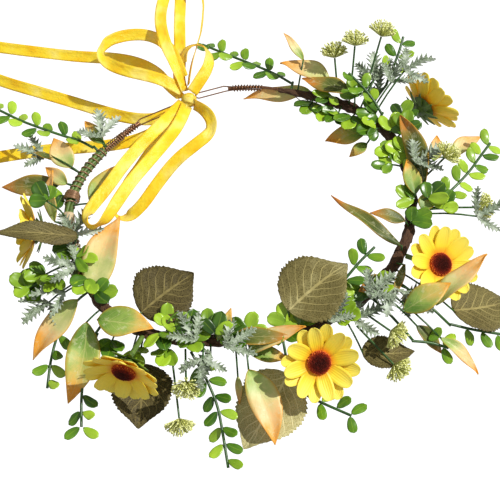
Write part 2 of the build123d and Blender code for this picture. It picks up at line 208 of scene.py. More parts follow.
class Shader:
    """A principled material with short calls for its nodes."""

    def __init__(self, name, roughness=0.5, **settings):
        self.material = bpy.data.materials.new(name)
        self.material.use_nodes = True
        self.tree = self.material.node_tree
        self.main = self.tree.nodes["Principled BSDF"]
        self.main.inputs["Roughness"].default_value = roughness
        for key, value in settings.items():
            self.main.inputs[key.replace("_", " ")].default_value = value

    def put(self, socket, value):
        """Gives a socket a value or links it to one."""
        if isinstance(value, bpy.types.NodeSocket):
            self.tree.links.new(value, socket)
        else:
            socket.default_value = value

    def node(self, kind, **settings):
        node = self.tree.nodes.new("ShaderNode" + kind)
        for key, value in settings.items():
            setattr(node, key, value)
        return node

    def value(self, name):
        """A value that the mesh carries, such as u, v, along, seed or rim."""
        return self.node("Attribute", attribute_name=name).outputs["Fac"]

    def math(self, operation, a, b=0.0, clamp=False):
        node = self.node("Math", operation=operation, use_clamp=clamp)
        self.put(node.inputs[0], a)
        self.put(node.inputs[1], b)
        return node.outputs[0]

    def times(self, a, b):
        return self.math("MULTIPLY", a, b)

    def plus(self, a, b):
        return self.math("ADD", a, b)

    def minus(self, a, b):
        return self.math("SUBTRACT", a, b)

    def over(self, a, level):
        return self.math("GREATER_THAN", a, level)

    def under(self, a, level):
        return self.math("LESS_THAN", a, level)

    def size(self, a):
        return self.math("ABSOLUTE", a)

    def sine(self, a):
        return self.math("SINE", a)

    def strayed(self, value, amount, scale, detail=3.0, roughness=0.5):
        """The value, raised and lowered by cloudy noise."""
        cloud = self.noise(scale, detail, roughness=roughness)
        return self.plus(value, self.times(self.minus(cloud, 0.5), amount))

    def noise(self, scale, detail=3.0, vector=None, roughness=0.5):
        """Cloudy values about 0.5, over the object's own place unless a vector is given."""
        node = self.node("TexNoise")
        node.inputs["Scale"].default_value = scale
        node.inputs["Detail"].default_value = detail
        node.inputs["Roughness"].default_value = roughness
        self.put(node.inputs["Vector"], vector or self.place())
        return node.outputs["Fac"]

    def place(self):
        return self.node("TexCoord").outputs["Object"]

    def vector(self, x, y):
        node = self.node("CombineXYZ")
        for socket, value in zip(node.inputs, (x, y)):
            self.put(socket, value)
        return node.outputs[0]

    def ramp(self, factor, *stops):
        """Colours at stops along the factor: pairs of position and colour."""
        node = self.node("ValToRGB")
        self.put(node.inputs[0], factor)
        elements = node.color_ramp.elements
        elements[0].position, elements[0].color = stops[0][0], (*stops[0][1], 1)
        elements[1].position, elements[1].color = stops[-1][0], (*stops[-1][1], 1)
        for position, colour in stops[1:-1]:
            elements.new(position).color = (*colour, 1)
        return node.outputs[0]

    def whole(self, colour):
        """A colour with its alpha, or the socket that gives one."""
        return colour if isinstance(colour, bpy.types.NodeSocket) else (*colour, 1)

    def mix(self, factor, a, b):
        node = self.node("Mix", data_type="RGBA")
        self.put(node.inputs[0], factor)
        self.put(node.inputs[6], self.whole(a))
        self.put(node.inputs[7], self.whole(b))
        return node.outputs[2]

    def finish(self, colour, height, depth, strength):
        """Sets the colour, and a relief of this depth."""
        self.put(self.main.inputs["Base Color"], colour)
        bump = self.node("Bump")
        bump.inputs["Strength"].default_value = strength
        bump.inputs["Distance"].default_value = depth
        self.put(bump.inputs["Height"], height)
        self.put(self.main.inputs["Normal"], bump.outputs[0])
        return self.material

    def let_through(self, share, colour):
        """Lets a share of the light through in this colour, as thin cloth does."""
        through = self.node("BsdfTranslucent")
        self.put(through.inputs["Color"], self.whole(colour))
        both = self.node("MixShader")
        both.inputs[0].default_value = share
        self.tree.links.new(self.main.outputs[0], both.inputs[1])
        self.tree.links.new(through.outputs[0], both.inputs[2])
        self.tree.links.new(both.outputs[0], self.tree.nodes["Material Output"].inputs["Surface"])
        return self.material


VEIN_WANDER = 0.16
MIDRIB = 0.04


def veins(s, count, lean, width):
    """A mask of side veins that leave the midrib at a lean and wander, and the midrib itself."""
    u, v = s.value("u"), s.value("v")
    away = s.size(v)
    bent = s.strayed(s.minus(u, s.times(away, lean)), VEIN_WANDER, 70)
    wave = s.sine(s.times(bent, count * pi))
    taper = s.times(s.minus(1.25, away), width)
    side = s.under(s.size(wave), taper)
    return s.math("MAXIMUM", side, s.under(away, MIDRIB))


def cells(s, scale, width):
    """A mask of the thin lines between irregular cells."""
    net = s.node("TexVoronoi", feature="DISTANCE_TO_EDGE")
    net.inputs["Scale"].default_value = scale
    s.put(net.inputs["Vector"], s.place())
    return s.under(net.outputs["Distance"], width)


def rose_leaf_material():
    s = Shader("rose_leaf", roughness=0.6, Specular_IOR_Level=0.2)
    vein = s.math("MAXIMUM", veins(s, 7, 0.42, 0.20), s.times(veins(s, 15, -0.5, 0.16), 0.55))
    net = s.math("MAXIMUM", s.times(cells(s, 330, 0.035), 0.5), cells(s, 980, 0.13))
    # Painted light: the seed sets each rose leaf's tone, khaki for a sunlit leaf and dark olive for one in
    # shade; the noise added to it is the leaf's speckle.
    speckle_and_painted_light = s.strayed(s.value("seed"), 0.6, 55)
    ground = s.ramp(speckle_and_painted_light, (0.15, (0.03, 0.022, 0.005)), (0.5, (0.08, 0.066, 0.016)),
                    (0.9, (0.4, 0.36, 0.14)))
    lines = s.ramp(speckle_and_painted_light, (0.15, (0.17, 0.135, 0.045)), (0.5, (0.32, 0.27, 0.1)),
                   (0.9, (0.84, 0.78, 0.44)))
    flecks = s.math("ADD", net, s.times(s.over(s.noise(750), 0.56), 0.5), clamp=True)
    tone = s.mix(s.times(flecks, 0.42), ground, lines)
    tone = s.mix(vein, tone, lines)
    height = s.minus(s.noise(420, 3), s.times(vein, 0.8))
    return s.finish(tone, height, 0.0003, 0.7)


def printed_leaf_material():
    s = Shader("printed_leaf", roughness=0.45)
    vein = veins(s, 6, 0.4, 0.13)
    seed = s.value("seed")
    along = s.strayed(s.value("u"), 1.15, 75, 4, 0.62)
    green = s.ramp(along, (0.05, (0.12, 0.26, 0.03)), (0.42, (0.36, 0.5, 0.1)),
                   (0.68, (0.72, 0.56, 0.14)), (0.95, (0.86, 0.4, 0.03)))
    olive = s.ramp(along, (0.1, (0.06, 0.1, 0.012)), (0.5, (0.17, 0.2, 0.035)),
                   (0.75, (0.42, 0.26, 0.05)), (0.98, (0.68, 0.25, 0.03)))
    peach = s.ramp(along, (0.0, (0.38, 0.54, 0.13)), (0.35, (0.72, 0.7, 0.3)),
                   (0.65, (0.9, 0.62, 0.27)), (0.95, (0.9, 0.44, 0.05)))
    tone = s.mix(s.over(seed, 0.42), green, peach)
    tone = s.mix(s.over(seed, 0.7), tone, olive)
    bloom = s.over(s.noise(230, 4, roughness=0.7), 0.6)
    tone = s.mix(s.times(bloom, 0.3), tone, (0.82, 0.8, 0.52))
    edge = s.math("POWER", s.size(s.value("v")), 9.0)
    tone = s.mix(s.times(edge, 0.6), tone, (0.85, 0.42, 0.02))
    tone = s.mix(s.times(vein, 0.35), tone, (0.78, 0.72, 0.3))
    height = s.plus(s.times(vein, -1.0), s.times(s.noise(700, 3), 0.7))
    s.finish(tone, height, 0.0002, 0.6)
    return s.let_through(0.3, tone)


def small_leaf_material(name, dark, mid, light, roughness=0.3):
    """Glossy plastic in three shades, lighter along the midrib."""
    s = Shader(name, roughness=roughness)
    seed = s.value("seed")
    mixed = s.plus(s.times(seed, 0.75), s.times(s.noise(140), 0.3))
    mixed = s.plus(mixed, s.times(s.value("u"), 0.16))
    tone = s.ramp(mixed, (0.15, dark), (0.5, mid), (0.9, light))
    rib = s.under(s.size(s.value("v")), 0.06)
    tone = s.mix(s.times(rib, 0.3), tone, light)
    height = s.plus(s.times(rib, -1.0), s.times(s.noise(600), 0.3))
    s.finish(tone, height, 0.0002, 0.5)
    return s.let_through(0.15, light)


def frosted_material():
    s = Shader("frosted_leaf", roughness=0.9, Sheen_Weight=0.4)
    flock = s.noise(1500, 3)
    patch = s.plus(s.noise(170, 4, roughness=0.65), s.times(s.value("seed"), 0.16))
    tone = s.ramp(patch, (0.42, (0.05, 0.075, 0.032)), (0.58, (0.18, 0.24, 0.14)),
                  (0.76, (0.5, 0.56, 0.46)))
    tone = s.mix(s.times(s.over(flock, 0.56), 0.42), tone, (0.58, 0.64, 0.55))
    return s.finish(tone, s.plus(flock, patch), 0.0004, 0.8)


def petal_material():
    s = Shader("petal", roughness=0.5, Sheen_Weight=0.1)
    u, v = s.value("u"), s.value("v")
    lines = s.sine(s.plus(s.times(v, 22.0), s.times(s.noise(90), 2.0)))
    along = s.strayed(u, 0.28, 160)
    tone = s.ramp(along, (0.06, (0.9, 0.2, 0.0)), (0.22, (1.0, 0.56, 0.01)),
                  (0.38, (1.0, 0.84, 0.03)), (0.9, (1.0, 0.96, 0.14)))
    tone = s.mix(s.times(s.over(lines, 0.85), 0.08), tone, (0.98, 0.62, 0.0))
    s.finish(tone, lines, 0.0001, 0.4)
    return s.let_through(0.34, (1.0, 0.66, 0.0))


def disc_material():
    s = Shader("flower_disc", roughness=0.75, Specular_IOR_Level=0.15)
    mixed = s.strayed(s.value("rim"), 0.9, 900)
    tone = s.ramp(mixed, (0.0, (0.04, 0.004, 0.002)), (0.4, (0.15, 0.012, 0.005)),
                  (0.75, (0.36, 0.04, 0.012)), (1.0, (0.75, 0.2, 0.03)))
    return s.finish(tone, s.noise(2600), 0.0003, 0.9)


THREADS = 75.0  # radians of the ribbon's thread pattern across half its width
WEFT = 15000.0  # and along each metre of it


def ribbon_material():
    s = Shader("ribbon", roughness=0.34, Sheen_Weight=0.15, Anisotropic=0.5)
    along, across = s.value("along"), s.value("v")
    threads = s.sine(s.times(across, THREADS))
    weft = s.sine(s.times(along, WEFT))
    # Painted highlights and painted shade: noise stretched along the ribbon gives lemon bands for the light
    # on the satin and golden bands for its shade.
    painted_light_bands = s.noise(1, 2, s.vector(s.times(along, 55.0), s.times(across, 0.35)))
    tone = s.ramp(painted_light_bands, (0.32, (1.0, 0.7, 0.008)), (0.5, (1.0, 0.88, 0.04)), (0.66, (1.0, 0.97, 0.22)))
    selvedge = s.over(s.size(across), 0.88)
    tone = s.mix(s.times(selvedge, 0.35), tone, (1.0, 0.55, 0.0))
    crease = s.noise(1, 3, s.vector(s.times(along, 160.0), s.times(across, 1.2)))
    height = s.plus(s.times(threads, 0.1), s.times(weft, 0.05))
    height = s.plus(height, s.times(crease, 6.0))
    s.finish(tone, s.plus(height, s.times(selvedge, 0.3)), 0.0003, 0.6)
    return s.let_through(0.38, (1.0, 0.62, 0.0))


def vine_material():
    s = Shader("vine", roughness=0.85)
    fibres = s.noise(26, 4, s.vector(s.times(s.value("along"), 14.0),
                                     s.times(s.value("v"), 5.0)), 0.65)
    tone = s.ramp(fibres, (0.32, (0.02, 0.008, 0.003)), (0.55, (0.085, 0.036, 0.014)),
                  (0.78, (0.3, 0.15, 0.07)))
    return s.finish(tone, fibres, 0.0008, 0.9)


def plain_material(name, dark, light, scale, roughness, depth=0.0002, **settings):
    """Two shades of one colour in a grain of this scale."""
    s = Shader(name, roughness=roughness, **settings)
    grain = s.noise(scale, 4)
    return s.finish(s.ramp(grain, (0.3, dark), (0.7, light)), grain, depth, 0.6)


TWINE_LAY = 3600.0  # radians that the twine's two colours wind, for each metre


def twine_material():
    s = Shader("twine", roughness=0.9)
    turn = s.sine(s.plus(s.times(s.value("along"), TWINE_LAY),
                                 s.times(s.value("v"), tau)))
    tone = s.ramp(s.times(s.plus(turn, 1.0), 0.5),
                  (0.35, (0.2, 0.11, 0.05)), (0.6, (0.66, 0.56, 0.38)))
    return s.finish(tone, turn, 0.0003, 0.8)


# By name, less the number that Blender adds where the CAD's own materials have that name.
MATERIALS = {material.name.partition(".")[0]: material for material in (
    rose_leaf_material(),
    printed_leaf_material(),
    small_leaf_material("eucalyptus", (0.02, 0.09, 0.006), (0.12, 0.27, 0.012), (0.4, 0.6, 0.04)),
    small_leaf_material("box_leaf", (0.01, 0.042, 0.004), (0.08, 0.2, 0.01), (0.36, 0.56, 0.03)),
    frosted_material(),
    small_leaf_material("umbel", (0.42, 0.46, 0.08), (0.72, 0.74, 0.22), (0.92, 0.94, 0.46), 0.6),
    petal_material(),
    disc_material(),
    ribbon_material(),
    vine_material(),
    twine_material(),
    plain_material("green_stem", (0.03, 0.06, 0.008), (0.12, 0.2, 0.03), 300, 0.5),
    plain_material("calyx", (0.04, 0.08, 0.008), (0.14, 0.24, 0.03), 260, 0.5),
    plain_material("sprig_stem", (0.01, 0.045, 0.006), (0.045, 0.13, 0.02), 300, 0.4),
    plain_material("binding_wire", (0.15, 0.075, 0.035), (0.4, 0.24, 0.13), 900, 0.4,
                   0.00005, Metallic=0.3),
    plain_material("thin_wire", (0.13, 0.055, 0.025), (0.3, 0.15, 0.08), 900, 0.35,
                   0.00005, Metallic=0.8),
    plain_material("paper_strip", (0.36, 0.26, 0.15), (0.6, 0.48, 0.3), 500, 0.9),
)}

# ---- ribbon ----

RIBBON_WIDTH = 0.0075
RIBBON_THICKNESS = 0.00025
RIBBON_CUP = 0.0005
RIBBON_RIPPLE = 0.0006
RIPPLES = 90  # per metre
ACROSS = 7  # points across a ribbon

# Each length: what its far end is, how its face rolls along it in degrees, and its route from the knot.
RIBBONS = {
    "tail_up": ("bare", [20, 10, -10, 0, 15, 10, -10, 0], [
        (-0.036, 0.082, 0.026), (-0.039, 0.091, 0.026), (-0.038, 0.105, 0.026), (-0.039, 0.123, 0.024),
        (-0.04, 0.145, 0.02), (-0.04, 0.166, 0.014), (-0.042, 0.187, 0.008), (-0.045, 0.206, 0.004)]),
    "loop_up": ("object", [60, 40, 10, 0, 10, 30, 60, 90, 110, 100, 90, 90, 80, 80], [
        (-0.035, 0.08, 0.029), (-0.038, 0.087, 0.036), (-0.043, 0.098, 0.04), (-0.048, 0.111, 0.042),
        (-0.051, 0.128, 0.04), (-0.05, 0.148, 0.034), (-0.047, 0.164, 0.029), (-0.043, 0.175, 0.026),
        (-0.035, 0.18, 0.024), (-0.028, 0.175, 0.023), (-0.025, 0.163, 0.024), (-0.024, 0.146, 0.026),
        (-0.025, 0.128, 0.028), (-0.028, 0.112, 0.031), (-0.031, 0.096, 0.032), (-0.032, 0.085, 0.03)]),
    "tail_left_upper": ("bare", [40, 20, 10, 0, -10, 0, 10, 0, 0], [
        (-0.037, 0.08, 0.022), (-0.045, 0.09, 0.02), (-0.052, 0.102, 0.018), (-0.063, 0.111, 0.016),
        (-0.079, 0.118, 0.013), (-0.104, 0.123, 0.008), (-0.131, 0.129, 0.005), (-0.158, 0.134, 0.004),
        (-0.18, 0.138, 0.004)]),
    "tail_left_middle": ("bare", [30, 10, 0, -10, 0, 10, 0, -10, 0], [
        (-0.037, 0.075, 0.021), (-0.046, 0.07, 0.017), (-0.056, 0.068, 0.015), (-0.07, 0.071, 0.013),
        (-0.086, 0.078, 0.01), (-0.106, 0.088, 0.006), (-0.129, 0.097, 0.005), (-0.156, 0.107, 0.004),
        (-0.18, 0.118, 0.004)]),
    "tail_left_lower": ("bare", [30, 20, 10, 0, 10, 0, -10, 0, 0], [
        (-0.036, 0.073, 0.019), (-0.044, 0.067, 0.014), (-0.054, 0.062, 0.01), (-0.066, 0.058, 0.007),
        (-0.079, 0.056, 0.005), (-0.098, 0.055, 0.004), (-0.122, 0.053, 0.004), (-0.15, 0.048, 0.004),
        (-0.176, 0.042, 0.004)]),
    "loop_left": ("object", [10, 10, 0, 0, 20, 70, 40, 10, 0, -10, 0, 10], [
        (-0.036, 0.079, 0.031), (-0.045, 0.082, 0.036), (-0.057, 0.085, 0.038), (-0.072, 0.089, 0.038),
        (-0.084, 0.096, 0.037), (-0.088, 0.107, 0.035), (-0.083, 0.117, 0.033), (-0.071, 0.122, 0.032),
        (-0.058, 0.121, 0.033), (-0.047, 0.114, 0.033), (-0.04, 0.102, 0.032), (-0.036, 0.089, 0.031)]),
    "loop_inner_left": ("object", [10, 0, 0, -10, 0, 20, 60, 80, 40, 10, 0, 0, 10, 20], [
        (-0.035, 0.072, 0.028), (-0.044, 0.056, 0.034), (-0.056, 0.037, 0.039), (-0.068, 0.019, 0.04),
        (-0.077, 0.004, 0.038), (-0.085, -0.007, 0.036), (-0.089, -0.015, 0.036), (-0.086, -0.023, 0.038),
        (-0.078, -0.023, 0.042), (-0.072, -0.014, 0.045), (-0.064, 0, 0.047), (-0.055, 0.014, 0.046),
        (-0.044, 0.034, 0.041), (-0.036, 0.053, 0.034), (-0.033, 0.07, 0.028)]),
    "loop_inner_right": ("object", [40, 20, 30, 10, 0, -10, 0, 10, 60, 100, 60, 30, 40, 50, 60], [
        (-0.029, 0.073, 0.025), (-0.022, 0.066, 0.029), (-0.017, 0.056, 0.031), (-0.018, 0.047, 0.031),
        (-0.027, 0.04, 0.029), (-0.039, 0.032, 0.024), (-0.05, 0.02, 0.017), (-0.059, 0.008, 0.011),
        (-0.068, 0.002, 0.006), (-0.075, 0.005, 0.004), (-0.076, 0.014, 0.004), (-0.071, 0.023, 0.007),
        (-0.063, 0.033, 0.011), (-0.056, 0.045, 0.015), (-0.047, 0.057, 0.018), (-0.037, 0.069, 0.021)]),
    "short_end": ("bare", [20, 10, 30, 60, 80, 70, 60, 40], [
        (-0.03, 0.079, 0.029), (-0.025, 0.085, 0.033), (-0.02, 0.093, 0.036), (-0.019, 0.102, 0.037),
        (-0.023, 0.11, 0.036), (-0.031, 0.112, 0.034), (-0.036, 0.106, 0.033), (-0.036, 0.099, 0.032)]),
}


def ribbon_length(name, far_end, rolls, route):
    """A flat ribbon along its route; its rolls say how far it turns from facing the viewer."""
    line = line_through(route, name)
    along, ways = 0.0, tangents(line)
    sheet, runs, crosses, faces_out = [], [], [], []
    for i, (place, way) in enumerate(zip(line, ways)):
        if i:
            along += (place - line[i - 1]).length
        at = i / (len(line) - 1) * (len(rolls) - 1)
        low = min(int(at), len(rolls) - 2)
        blend = at - low
        blend = blend * blend * (3 - 2 * blend)
        roll = rolls[low] * (1 - blend) + rolls[low + 1] * blend
        face = (TO_VIEWER - way * TO_VIEWER.dot(way)).normalized()
        face = Quaternion(way, radians(roll)) @ face
        side = way.cross(face)
        ripple = noise.noise(place * RIPPLES) * RIBBON_RIPPLE
        for j in range(ACROSS):
            across = 2 * j / (ACROSS - 1) - 1
            cup = (across * across - 0.5) * RIBBON_CUP + ripple * across
            sheet.append(place + side * across * RIBBON_WIDTH / 2 + face * cup)
            runs.append(along)
            crosses.append(across)
            faces_out.append(face)
    build = Build()
    two_sided(build, sheet, len(line), ACROSS, RIBBON_THICKNESS, faces_out, along=runs, v=crosses)
    piece = build.finish(name + "_ribbon", MATERIALS["ribbon"], "ribbon_" + name, "ribbon")
    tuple(route[0])
    line_length(line)
    [tuple(p) for p in line]


for ribbon_name, ribbon_facts in RIBBONS.items():
    ribbon_length(ribbon_name, *ribbon_facts)


# The knot's bands: the axis each goes round, and its radius.
KNOT_BANDS = [((0.9, 0.3, 0.2), 0.0043), ((0.2, 1, 0.35), 0.0047), ((-0.6, 0.5, 0.6), 0.0045)]
KNOT_HALF = 0.0028  # half a band's width
KNOT_THICKNESS = 0.0004
KNOT_ROWS = 33


def ribbon_knot():
    """The knot: bands of the same ribbon drawn tight round one another."""
    low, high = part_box("ribbon_knot")
    centre = (Vector(low) + Vector(high)) / 2
    build = Build()
    for axis, radius in KNOT_BANDS:
        axis = Vector(axis).normalized()
        across_way = axis.orthogonal().normalized()
        other = axis.cross(across_way)
        sheet, faces_out, crosses, runs = [], [], [], []
        for i in range(KNOT_ROWS):
            angle = tau * i / (KNOT_ROWS - 1)
            out = across_way * cos(angle) + other * sin(angle)
            for j in range(ACROSS):
                across = 2 * j / (ACROSS - 1) - 1
                pinch = 1 - 0.16 * across * across + 0.04 * sin(5 * across + 3 * angle)
                sheet.append(centre + out * radius * pinch + axis * across * KNOT_HALF)
                faces_out.append(out)
                crosses.append(across)
                runs.append(angle * radius)
        two_sided(build, sheet, KNOT_ROWS, ACROSS, KNOT_THICKNESS, faces_out, along=runs, v=crosses)
    build.finish("knot_wraps", MATERIALS["ribbon"], "ribbon_knot", "ribbon")


ribbon_knot()

# ---- ring ----

# Corners of the ring's axis, from the left end round the front to the top end, as in the CAD.
RING_Z = 0.022
RING = [
    (-0.062, 0.061), (-0.077, 0.047), (-0.089, 0.033), (-0.098, 0.016), (-0.102, -0.004),
    (-0.098, -0.026), (-0.089, -0.049), (-0.074, -0.071), (-0.049, -0.085), (-0.018, -0.088),
    (0.017, -0.084), (0.051, -0.076), (0.081, -0.052), (0.099, -0.021), (0.103, 0.012),
    (0.096, 0.045), (0.077, 0.07), (0.046, 0.081), (0.012, 0.089), (-0.008, 0.087),
]
ring_line = line_through([(x, y, RING_Z) for x, y in RING], "ring", 24)
ring_count = len(ring_line) - 1


def stretch(first, last):
    """The part of the ring's line between two fractions of it."""
    return ring_line[int(first * ring_count):int(last * ring_count) + 1]


def add_tube(build, line, radius, sides, **extra):
    """Adds a tube along a line; its radius may be a function of the place along it and the angle."""
    points, runs, angles = [], [], []
    ways, along = tangents(line), 0.0
    side = ways[0].orthogonal().normalized()
    for i, (place, way) in enumerate(zip(line, ways)):
        if i:
            along += (place - line[i - 1]).length
        side = (side - way * side.dot(way)).normalized()
        other = way.cross(side)
        for j in range(sides):
            angle = tau * j / sides
            size = radius(along, angle) if callable(radius) else radius
            points.append(place + (side * cos(angle) + other * sin(angle)) * size)
            runs.append(along)
            angles.append(j / sides)
    count = len(points)
    faces = grid_faces(len(line), sides, closed=True)
    faces += [tuple(reversed(range(sides))), tuple(range(count - sides, count))]
    fixed = {key: [value] * count for key, value in extra.items()}
    build.add(points, faces, along=runs, v=angles, **fixed)


def helix(line, radius, pitch, start, steps, wander=0.0):
    """A line wound round another at a radius; wander loosens it."""
    ways, turn, out = tangents(line), start, []
    side = ways[0].orthogonal().normalized()
    for i in range(len(line) - 1):
        gap = (line[i + 1] - line[i]).length
        side = (side - ways[i] * side.dot(ways[i])).normalized()
        pieces = max(1, int(gap / pitch * steps))
        for k in range(pieces):
            here = line[i].lerp(line[i + 1], k / pieces)
            other = ways[i].cross(side)
            size = radius * (1 + wander * noise.noise(here * 300))
            out.append(here + (side * cos(turn) + other * sin(turn)) * size)
            turn += tau * gap / pieces / pitch
    return out


VINE_FROM, VINE_TO = 0.215, 0.955
VINE_R = 0.00245  # in the grooves between its four ridges
VINE_RIDGE = 0.00095  # how far the ridges stand out from there
VINE_TWIST = 260  # twice the ridges' turn, in radians for each metre
VINE_ROUGH = 0.0009
VINE_TAPER = 0.06  # the length over which it thins to its end
FIBRES = 26  # loose fibres wound on it
FIBRE_R = 0.00028


def vine():
    """A twisted rope of rough paper vine, with loose fibres on it."""
    line = stretch(VINE_FROM, VINE_TO)
    total = line_length(line)

    def radius(along, angle):
        rope = VINE_R + VINE_RIDGE * abs(cos(angle * 2 - along * VINE_TWIST))
        rough = noise.noise(Vector((along * 210, cos(angle) * 1.9, sin(angle) * 1.9))) * VINE_ROUGH
        thin = min(1, 0.45 + (total - along) / VINE_TAPER)
        return (rope + rough) * thin

    build = Build()
    fine = [a.lerp(b, k / 3) for a, b in zip(line, line[1:]) for k in range(3)]
    add_tube(build, fine, radius, 24)
    rng = random.Random(4)
    for _ in range(FIBRES):
        at = rng.randrange(8, len(fine) - 40)
        strand = helix(fine[at:at + rng.randrange(14, 34)], 0.0034, 0.03, rng.random() * tau, 40, 0.25)
        add_tube(build, strand, FIBRE_R, 5)
    build.finish("paper_vine", MATERIALS["vine"], "vine_wrap", "vine")


STEMS_FROM, STEMS_TO = 0.055, 0.235
STEMS = 5
STEM_R = 0.0012
STEM_OUT = 0.0017  # from the ring's axis to a stem's
STEM_PITCH = 0.09
LUMP = (0.158, 0.172)  # where the binding wire is wound in a lump
# Each winding: its stretch of the ring, its radius, pitch, first angle and looseness, and the wire's radius.
WINDINGS = [
    ((STEMS_FROM, 0.185), 0.0031, 0.0036, 0.0, 0.06, 0.00042),
    ((0.02, 0.075), 0.0021, 0.0016, 1.0, 0.1, 0.00038),
    (LUMP, 0.0034, 0.0016, 0.0, 0.25, 0.0004),
    (LUMP, 0.0038, 0.0016, 2.0, 0.25, 0.0004),
    (LUMP, 0.0042, 0.0016, 4.0, 0.25, 0.0004),
]
COIL_STEPS = 14  # points to a turn
TWINE = (0.218, 0.268)
TWINE_STRANDS = 2
TWINE_R = 0.0008
TWINE_OUT = 0.004
TWINE_PITCH = 0.006


def stem_bundle():
    """The bundle of stems on the ring's left, and the wire and twine wound round it."""
    line = stretch(STEMS_FROM, STEMS_TO)
    build = Build()
    for k in range(STEMS):
        add_tube(build, helix(line, STEM_OUT, STEM_PITCH, tau * k / STEMS, 40), STEM_R, 9)
    build.finish("stem_strands", MATERIALS["green_stem"], "stem_bundle", "green_stem")

    coils = Build()
    for span, radius, pitch, start, wander, wire in WINDINGS:
        add_tube(coils, helix(stretch(*span), radius, pitch, start, COIL_STEPS, wander), wire, 6)
    coils.finish("binding_coils", MATERIALS["binding_wire"], "binding_wire", "binding_wire")

    twine = Build()
    for k in range(TWINE_STRANDS):
        start = tau * k / TWINE_STRANDS
        add_tube(twine, helix(stretch(*TWINE), TWINE_OUT, TWINE_PITCH, start, 16, 0.05), TWINE_R, 8)
    twine.finish("twine_coils", MATERIALS["twine"], "twine_wrap", "twine")


# Each eyelet: its root on the ring's wire, a point it reaches towards, and the stretch that its coil covers.
EYELETS = [
    ((-0.061, 0.062, 0.022), (-0.042, 0.071, 0.023), (0.0, 0.03)),
    ((-0.01, 0.087, 0.022), (-0.026, 0.081, 0.023), (0.97, 1.0)),
]
EYELET_HALF = 0.002  # half the gap between an eyelet's strands
EYELET_WIRE_R = 0.0004


def eyelet_roots():
    """Each eyelet's two strands close on the ring's wire, where a coil binds them to it."""
    build = Build()
    for root, reach, span in EYELETS:
        ahead = (Vector(reach) - Vector(root)).normalized()
        apart = ahead.cross(UP).normalized() * EYELET_HALF
        bound = stretch(*span)
        if span[0] > 0:
            bound.reverse()
        for hand in (1, -1):
            start = Vector(root) + apart * hand
            ends = [place + apart * hand * 0.62 for place in bound]
            add_tube(build, [start + ahead * 0.001, start, *ends[2:]], EYELET_WIRE_R, 6)
        add_tube(build, helix(bound[2:], 0.0019, 0.0018, 0, COIL_STEPS, 0.1), 0.00035, 6)
    build.finish("eyelet_roots", MATERIALS["thin_wire"], None, "binding_wire")


vine()
stem_bundle()
eyelet_roots()

# ---- sunflowers ----

FLOWERS = ["left", "lower_left", "lower", "right", "upper_right"]
PETALS = 8
PETAL_WIDTH = 0.0094
PETAL_BASE = 0.004
PETAL_TIP = 0.0226
PETAL_RISE = 0.0068  # how far its tip stands above its base
PETAL_GROOVE = 0.00012
PETAL_CUP = 0.0013
PETAL_SWAY = 0.02
PETAL_THICKNESS = 0.0003  # the sepals' too
PETAL_LAYERS = [(0.5, 0.0006), (0.0, 0.0022)]  # each layer's turn, in petals, and its height
DISC_BASE = 0.0028
DISC_R = 0.0068
DISC_HEIGHT = 0.0033
FLORETS = 230
FLORET_R = 0.00052
FLORET_TURN = 2.39996  # the golden angle, which packs them in spirals
SEPALS = 9
SEPAL_HALF = 0.0022  # half its width
SEPAL_FROM = Vector((0.004, 0, -0.0036))
SEPAL_REACH = Vector((0.009, 0, 0.0024))


def seat_of(name):
    """The bloom's seat: its turning axis with the centre of the bloom's back face."""
    joint = next(j for j in frame["joints"] if j["name"] == f"bloom_{name}_turn")
    axis = Vector(joint["axis"]).normalized()
    return Matrix.Translation(Vector(joint["pos_m"])) @ axis.to_track_quat("Z", "Y").to_matrix().to_4x4()


def petal(build, seat, angle, base_z, rng, length):
    """One petal: grooved, cupped and risen to a rounded tip."""
    turn = Matrix.Rotation(angle + rng.uniform(-0.05, 0.05), 4, "Z")
    lean, curl = rng.uniform(-0.06, 0.06), rng.uniform(0.75, 1.1)
    reach = (PETAL_TIP - PETAL_BASE) * length * rng.uniform(0.94, 1.0)
    wide = PETAL_WIDTH * rng.uniform(0.9, 1.06)

    def place(u, v):
        half = wide / 2 * (0.5 + 0.5 * sin(pi / 2 * min(1, u * 1.7))) * sqrt(max(0.0, 1 - u ** 5))
        groove = PETAL_GROOVE * cos(v * 3 * pi) * sin(pi * min(1, u * 1.15))
        cup = PETAL_CUP * v * v * (0.3 + u) * (half / wide * 2)
        height = base_z + PETAL_RISE * curl * u ** 1.5 + cup + groove
        return seat @ turn @ Vector((PETAL_BASE + reach * u, half * v + lean * u * u * PETAL_SWAY, height))

    # The rows gather at the tip, to round it.
    add_sheet(build, 15, 9, PETAL_THICKNESS, place, ease=lambda t: sin(pi / 2 * t))


def disc_florets(build, seat, rng):
    """A domed disc packed with little florets, laid out in the spiral that real ones have."""
    rows, sides = 9, 28
    dome = []
    for i in range(rows):
        tilt = pi / 2 * i / (rows - 1)
        for j in range(sides):
            a = tau * j / sides
            r = DISC_R * sin(tilt)
            dome.append(seat @ Vector((r * cos(a), r * sin(a), DISC_BASE + DISC_HEIGHT * cos(tilt))))
    rims = [i / rows for i in range(rows) for _ in range(sides)]
    build.add(dome, grid_faces(rows, sides, closed=True), rim=rims)
    for k in range(FLORETS):
        share = sqrt((k + 0.5) / FLORETS)
        a = k * FLORET_TURN
        r = DISC_R * 0.97 * share
        top = DISC_BASE + DISC_HEIGHT * sqrt(max(0.0, 1 - share * share * 0.94))
        size = FLORET_R * rng.uniform(0.8, 1.25)
        centre = Vector((r * cos(a), r * sin(a), top))
        points = []
        for level, width in ((-0.6, 0.8), (0.3, 1.0), (1.1, 0.55)):
            for j in range(5):
                b = tau * j / 5 + k
                points.append(seat @ (centre + Vector((cos(b) * width, sin(b) * width, level)) * size))
        points.append(seat @ (centre + Vector((0, 0, 1.35)) * size))
        faces = grid_faces(3, 5, closed=True) + [(10 + j, 10 + (j + 1) % 5, 15) for j in range(5)]
        build.add(points, faces, rim=[share ** 3] * 16)


